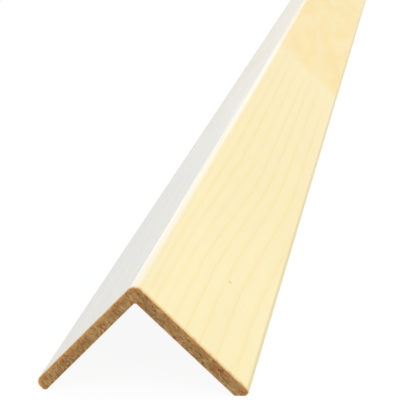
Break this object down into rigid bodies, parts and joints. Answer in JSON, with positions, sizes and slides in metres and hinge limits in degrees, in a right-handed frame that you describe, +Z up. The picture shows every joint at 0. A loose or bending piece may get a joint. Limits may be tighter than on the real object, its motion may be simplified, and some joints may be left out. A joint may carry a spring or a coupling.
{
  "type": "corner guard moulding",
  "caption": "L-shaped corner guard moulding: a thin fibreboard angle with a rounded arris and a pale maple wrap over its outer faces.",
  "frame": {"origin": "middle of the bounding box on the floor, midway along the strip and between its two toes", "axes": "+Z up towards the arris, +Y along the strip away from the end in the picture, +X towards the right leg's toe"},
  "size_m": [0.044, 1.22, 0.0229],
  "materials": {
    "fibreboard": "matte",
    "maple_face": "satin"
  },
  "bodies": {
    "root": {"fibreboard_core": "fibreboard", "maple_wrap": "maple_face"}
  },
  "joints": []
}
